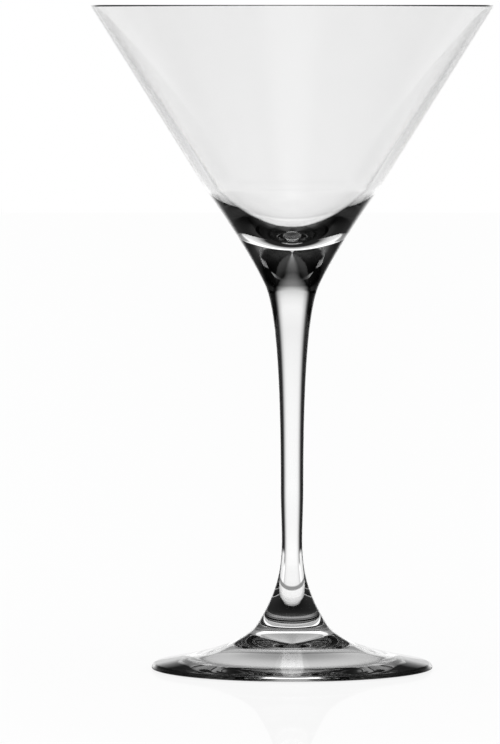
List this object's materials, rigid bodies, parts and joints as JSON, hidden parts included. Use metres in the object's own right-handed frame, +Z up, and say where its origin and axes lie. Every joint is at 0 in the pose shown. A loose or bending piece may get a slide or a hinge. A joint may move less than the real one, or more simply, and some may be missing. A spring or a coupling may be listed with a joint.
{
  "type": "martini glass",
  "caption": "Clear conical cocktail glass with a wide open rim and heavy rounded base, carried on a slender waisted stem and a round, gently domed foot.",
  "frame": {"origin": "centre of the flat ring that the foot stands on", "axes": "+Z up the glass's axis of revolution, towards the rim; X and Y are any two directions across it"},
  "size_m": [0.11, 0.11, 0.1819],
  "materials": {
    "clear_glass": "fire-polished, clear"
  },
  "bodies": {
    "root": {"bowl": "clear_glass", "stem": "clear_glass", "foot": "clear_glass"}
  },
  "joints": []
}
